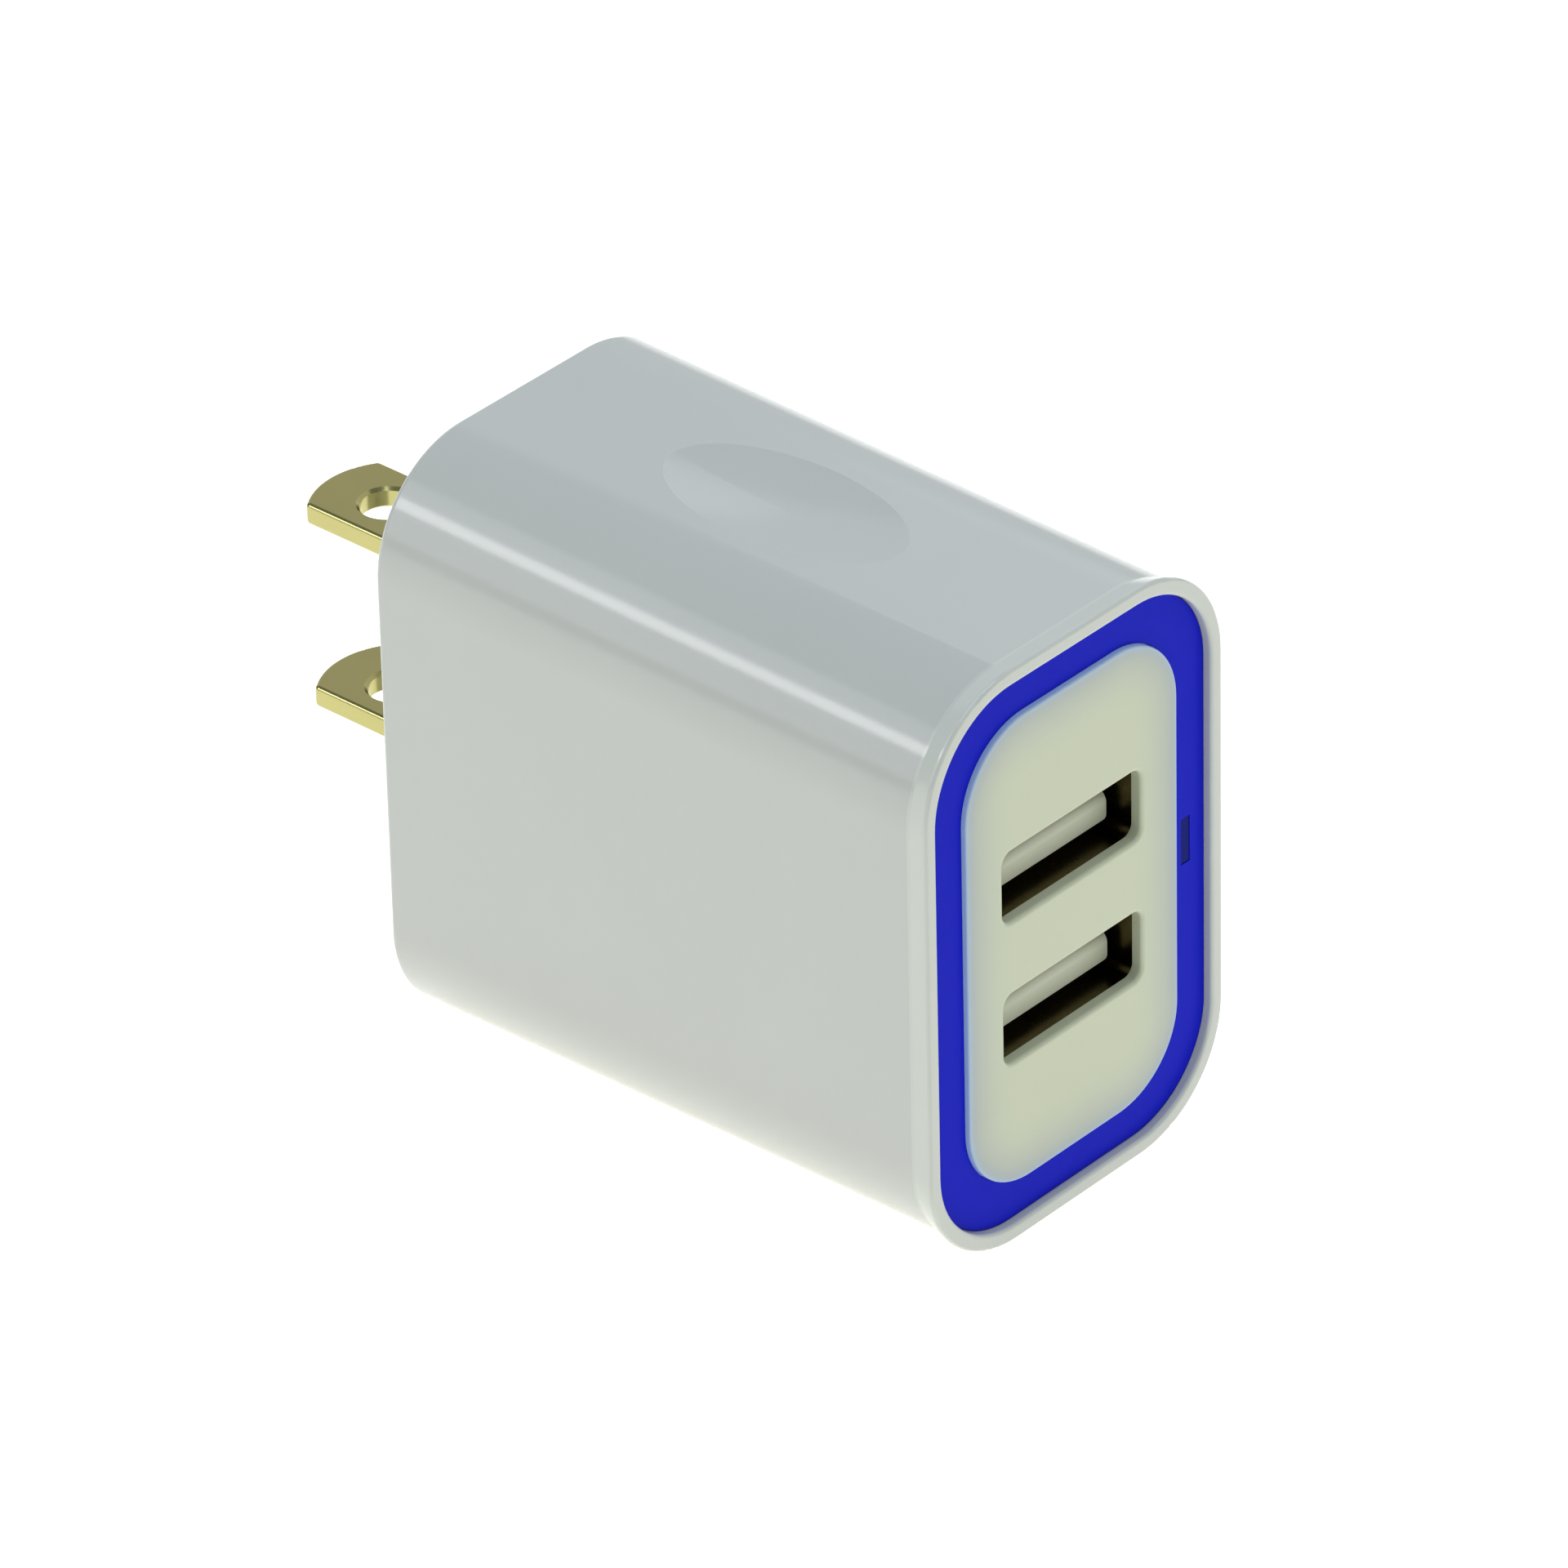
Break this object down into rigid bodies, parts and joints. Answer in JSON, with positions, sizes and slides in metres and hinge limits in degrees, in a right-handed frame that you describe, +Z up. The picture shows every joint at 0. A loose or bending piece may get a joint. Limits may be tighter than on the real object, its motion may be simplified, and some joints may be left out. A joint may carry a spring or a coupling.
{
  "type": "usb wall charger",
  "caption": "Rounded slab wall charger with USB ports in a lit blue ring on its front and fixed flat blades on its rear.",
  "frame": {"origin": "under the middle of the whole charger at the height of its lowest edge, the charger standing on a narrow side", "axes": "+Z up, +Y from the port face towards the plug blades, +X to the right when the port face is looked at"},
  "size_m": [0.0258, 0.0577, 0.039],
  "materials": {
    "bezel_plastic": "pale pearl grey moulded plastic, polished",
    "blade_brass": "nickel washed brass, drawn and lightly brushed along its length",
    "board_laminate": "green coated glass-epoxy laminate",
    "bobbin_plastic": "black moulded phenolic",
    "capacitor_sleeve": "dark sleeve over an aluminium can",
    "chip_resin": "black moulded epoxy",
    "contact_brass": "plain rolled brass strip",
    "contact_gold": "gold flashed spring strip",
    "copper_wire": "enamelled copper wire",
    "disc_ceramic": "blue coated ceramic disc",
    "ferrite": "dark grey ground ferrite",
    "housing_plastic": "pale pearl grey moulded plastic, polished, with a very fine grain",
    "insulator_plastic": "off-white moulded insulator, satin",
    "lamp_resin": "dark blue tinted epoxy lamp body",
    "panel_plastic": "pale grey-green plastic, satin",
    "resistor_coat": "grey-green cement coating",
    "ring_plastic": "translucent indigo blue plastic, smooth",
    "sheet_fibre": "pale fibre insulating card",
    "steel_tinned": "tinned sheet steel, folded",
    "winding_tape": "yellow polyester tape over wire"
  },
  "bodies": {
    "root": {"blade_contact_lower": "contact_brass", "blade_contact_upper": "contact_brass", "blade_lower": "blade_brass", "blade_upper": "blade_brass", "bridge_rectifier": "chip_resin", "chip_resistors": "chip_resin", "choke_core": "ferrite", "choke_winding": "copper_wire", "circuit_board": "board_laminate", "control_chip": "chip_resin", "front_bezel": "bezel_plastic", "fusible_resistor": "resistor_coat", "housing_shell": "housing_plastic", "indicator_led": "lamp_resin", "input_capacitor_lower": "capacitor_sleeve", "input_capacitor_upper": "capacitor_sleeve", "insulation_sheet": "sheet_fibre", "light_ring": "ring_plastic", "output_capacitor_lower": "capacitor_sleeve", "output_capacitor_upper": "capacitor_sleeve", "output_diode": "chip_resin", "port_panel": "panel_plastic", "rear_cover": "housing_plastic", "safety_capacitor": "disc_ceramic", "transformer_bobbin": "bobbin_plastic", "transformer_core": "ferrite", "transformer_winding": "winding_tape", "usb_contacts_lower": "contact_gold", "usb_contacts_upper": "contact_gold", "usb_insulator_lower": "insulator_plastic", "usb_insulator_upper": "insulator_plastic", "usb_shell_lower": "steel_tinned", "usb_shell_upper": "steel_tinned"}
  },
  "joints": []
}
